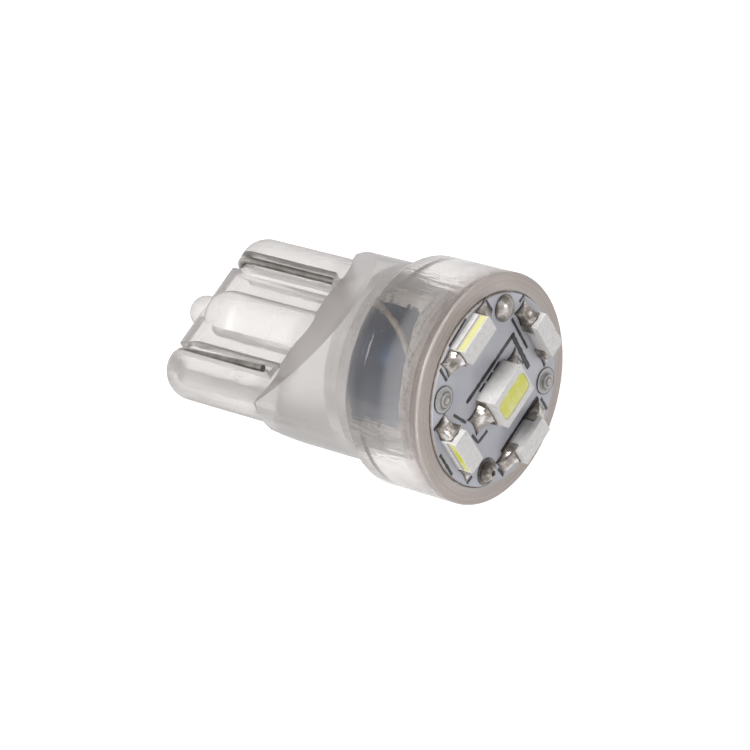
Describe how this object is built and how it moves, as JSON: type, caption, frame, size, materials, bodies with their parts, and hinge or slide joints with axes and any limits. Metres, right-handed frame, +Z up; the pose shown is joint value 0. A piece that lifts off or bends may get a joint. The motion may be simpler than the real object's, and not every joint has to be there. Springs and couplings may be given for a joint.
{
  "type": "led wedge bulb",
  "caption": "Capless wedge-base LED bulb: a clear moulded head and flat wedge with bent contact wires, and a white board of yellow-window LEDs in its mouth.",
  "frame": {"origin": "centre of the bulb's box on the surface that it lies on, resting on its head's rear edge and the wedge's two side beads", "axes": "-Y towards the lit face, which looks 18.4 degrees above level; X across the width of the wedge; +Z up"},
  "size_m": [0.011, 0.0198, 0.0117],
  "materials": {
    "clear_plastic": "clear, slightly smoky, polished",
    "tinned_wire": "drawn, dull",
    "board_white": "white solder mask",
    "clear_glue": "clear with specks",
    "dark_potting": "glossy navy black",
    "solder": "shiny, with dull rings",
    "led_white": "satin white",
    "yellow_phosphor": "yellow silicone",
    "terminal_metal": "bright tin"
  },
  "bodies": {
    "root": {"base_moulding": "clear_plastic", "contact_wire_left": "tinned_wire", "contact_wire_right": "tinned_wire", "circuit_board": "board_white", "glue_ring": "clear_glue", "limiter_body": "dark_potting", "limiter_lead_top": "tinned_wire", "limiter_lead_bottom": "tinned_wire", "limiter_lead_loop": "tinned_wire", "joint_left": "solder", "joint_right": "solder", "joint_top": "solder", "joint_bottom": "solder", "centre_led_housing": "led_white", "centre_led_window": "yellow_phosphor", "centre_led_terminals": "terminal_metal", "centre_led_solder": "solder", "side_led_1_housing": "led_white", "side_led_1_window": "yellow_phosphor", "side_led_1_terminals": "terminal_metal", "side_led_1_solder": "solder", "side_led_2_housing": "led_white", "side_led_2_window": "yellow_phosphor", "side_led_2_terminals": "terminal_metal", "side_led_2_solder": "solder", "side_led_3_housing": "led_white", "side_led_3_window": "yellow_phosphor", "side_led_3_terminals": "terminal_metal", "side_led_3_solder": "solder", "side_led_4_housing": "led_white", "side_led_4_window": "yellow_phosphor", "side_led_4_terminals": "terminal_metal", "side_led_4_solder": "solder"}
  },
  "joints": []
}
